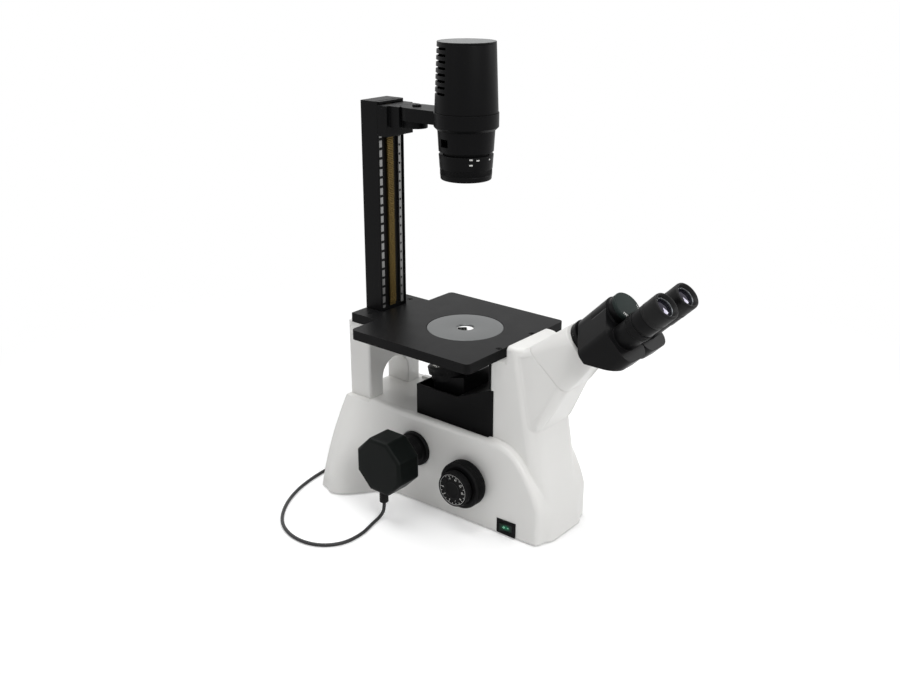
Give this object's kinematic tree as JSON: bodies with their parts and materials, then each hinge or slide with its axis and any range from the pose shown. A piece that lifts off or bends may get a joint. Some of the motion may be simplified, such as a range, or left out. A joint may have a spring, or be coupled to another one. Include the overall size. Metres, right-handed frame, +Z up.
{
  "type": "inverted microscope",
  "caption": "Inverted microscope with a flared white stand, lamp on a geared column, tilting binocular head, turret of objectives below the stage and a camera on the side port.",
  "frame": {"origin": "on the bench, straight below the optical axis through the stage and lamp", "axes": "+Z up along the optical axis, -Y towards the user at the eyepieces, -X to the user's left, the side of the camera"},
  "size_m": [0.3876, 0.6599, 0.657],
  "materials": {
    "white_enamel": "satin warm white enamel",
    "black_enamel": "satin black enamel",
    "grey_anodised": "satin grey anodised",
    "black_plastic": "fine matt black moulding",
    "green_plastic": "clear green lit plastic",
    "black_rubber": "matt black rubber",
    "brass": "machined brass",
    "steel": "ground steel",
    "nickel": "satin nickel plate",
    "ceramic": "pale lamp holder",
    "lens_glass": "coated lens glass",
    "mirror": "front-silvered"
  },
  "bodies": {
    "stand": {"stand_casting": "white_enamel", "rear_bridge": "white_enamel", "tube_neck": "white_enamel", "bottom_plate": "black_enamel", "column": "black_enamel", "nosepiece_shroud": "black_enamel", "stage_plate": "black_enamel", "head_body": "black_enamel", "mirror_mount": "black_enamel", "port_adapter": "black_enamel", "camera_body": "black_enamel", "hub_disc": "grey_anodised", "stage_insert": "grey_anodised", "switch_bezel": "black_plastic", "power_inlet": "black_plastic", "usb_plug": "black_plastic", "rubber_feet": "black_rubber", "cable_gland": "black_rubber", "camera_cable": "black_rubber", "cable_coil": "black_rubber", "lift_rack": "brass", "focus_bushings": "brass", "guide_rails": "steel", "stage_screws": "steel", "focus_guide": "steel", "tube_lens": "lens_glass", "fold_mirror": "mirror"},
    "lift_carriage": {"carriage": "black_enamel", "pivot_screw": "steel"},
    "lift_drive": {"lift_pinion": "steel", "lift_knob": "black_plastic"},
    "lamp_arm": {"swing_arm": "black_enamel", "lamp_house": "black_enamel", "lamp_lid": "black_enamel", "lamp_socket": "ceramic", "lamp_bulb": "lens_glass", "collector_lens": "lens_glass", "condenser_barrel": "black_enamel", "condenser_lens": "lens_glass"},
    "aperture": {"aperture_ring": "black_enamel"},
    "nosepiece": {"focus_carrier": "grey_anodised", "focus_rack": "brass"},
    "turret_group": {"turret": "black_enamel", "objective_4x": "nickel", "objective_10x": "nickel", "objective_20x": "nickel", "objective_40x": "nickel"},
    "coarse": {"coarse_shaft": "steel", "coarse_knobs": "black_plastic"},
    "fine": {"fine_shaft": "steel", "fine_knobs": "black_plastic"},
    "arm_left": {"prism_arm_left": "black_enamel", "eyepiece_left": "black_enamel", "eye_lens_left": "lens_glass"},
    "arm_right": {"prism_arm_right": "black_enamel", "eyepiece_right": "black_enamel", "eye_lens_right": "lens_glass"},
    "diopter": {"diopter_ring": "black_enamel"},
    "rocker": {"switch_rocker": "green_plastic"},
    "dial": {"brightness_dial": "black_plastic"}
  },
  "joints": [
    {"name": "lamp_lift", "type": "slide", "parent": "stand", "child": "lift_carriage", "axis": [0, 0, 1], "range_m": [-0.18, 0]},
    {"name": "lift_knob_turn", "type": "hinge", "parent": "lift_carriage", "child": "lift_drive", "pos_m": [0, 0.1319, 0.54475], "axis": [1, 0, 0], "range_deg": [-5, 1850]},
    {"name": "lamp_swing", "type": "hinge", "parent": "lift_carriage", "child": "lamp_arm", "pos_m": [0, 0.087, 0.56], "axis": [0, 0, 1], "range_deg": [-30, 30]},
    {"name": "aperture_turn", "type": "hinge", "parent": "lamp_arm", "child": "aperture", "pos_m": [0, 0, 0.495], "axis": [0, 0, 1], "range_deg": [-45, 45]},
    {"name": "focus_slide", "type": "slide", "parent": "stand", "child": "nosepiece", "axis": [0, 0, 1], "range_m": [-0.006, 0.002]},
    {"name": "turret_turn", "type": "hinge", "parent": "nosepiece", "child": "turret_group", "pos_m": [0, 0.02415, 0.20953], "axis": [0, 0.2588, 0.9659], "continuous": true},
    {"name": "coarse_turn", "type": "hinge", "parent": "stand", "child": "coarse", "pos_m": [0, -0.059, 0.067], "axis": [1, 0, 0], "range_deg": [-60, 20]},
    {"name": "fine_turn", "type": "hinge", "parent": "stand", "child": "fine", "pos_m": [0, -0.059, 0.067], "axis": [1, 0, 0], "continuous": true},
    {"name": "left_eye_swing", "type": "hinge", "parent": "stand", "child": "arm_left", "pos_m": [0, -0.2, 0.293], "axis": [0, -0.7071, 0.7071], "range_deg": [-30, 0]},
    {"name": "right_eye_swing", "type": "hinge", "parent": "stand", "child": "arm_right", "pos_m": [0, -0.2, 0.293], "axis": [0, -0.7071, 0.7071], "range_deg": [0, 30]},
    {"name": "diopter_turn", "type": "hinge", "parent": "arm_left", "child": "diopter", "pos_m": [-0.0256, -0.29043, 0.33997], "axis": [0, -0.7071, 0.7071], "range_deg": [-120, 120]},
    {"name": "rocker_tilt", "type": "hinge", "parent": "stand", "child": "rocker", "pos_m": [-0.06, -0.1235, 0.0136], "axis": [0, 0, 1], "range_deg": [-16, 0]},
    {"name": "dial_turn", "type": "hinge", "parent": "stand", "child": "dial", "pos_m": [0.0625, -0.123, 0.024], "axis": [1, 0, 0], "range_deg": [-135, 135]}
  ],
  "couplings": [
    {"joint": "lift_knob_turn", "follows": "lamp_lift", "rad_per_m": -178.57},
    {"joint": "coarse_turn", "follows": "focus_slide", "rad_per_m": 166.67},
    {"joint": "right_eye_swing", "follows": "left_eye_swing", "ratio": -1}
  ]
}
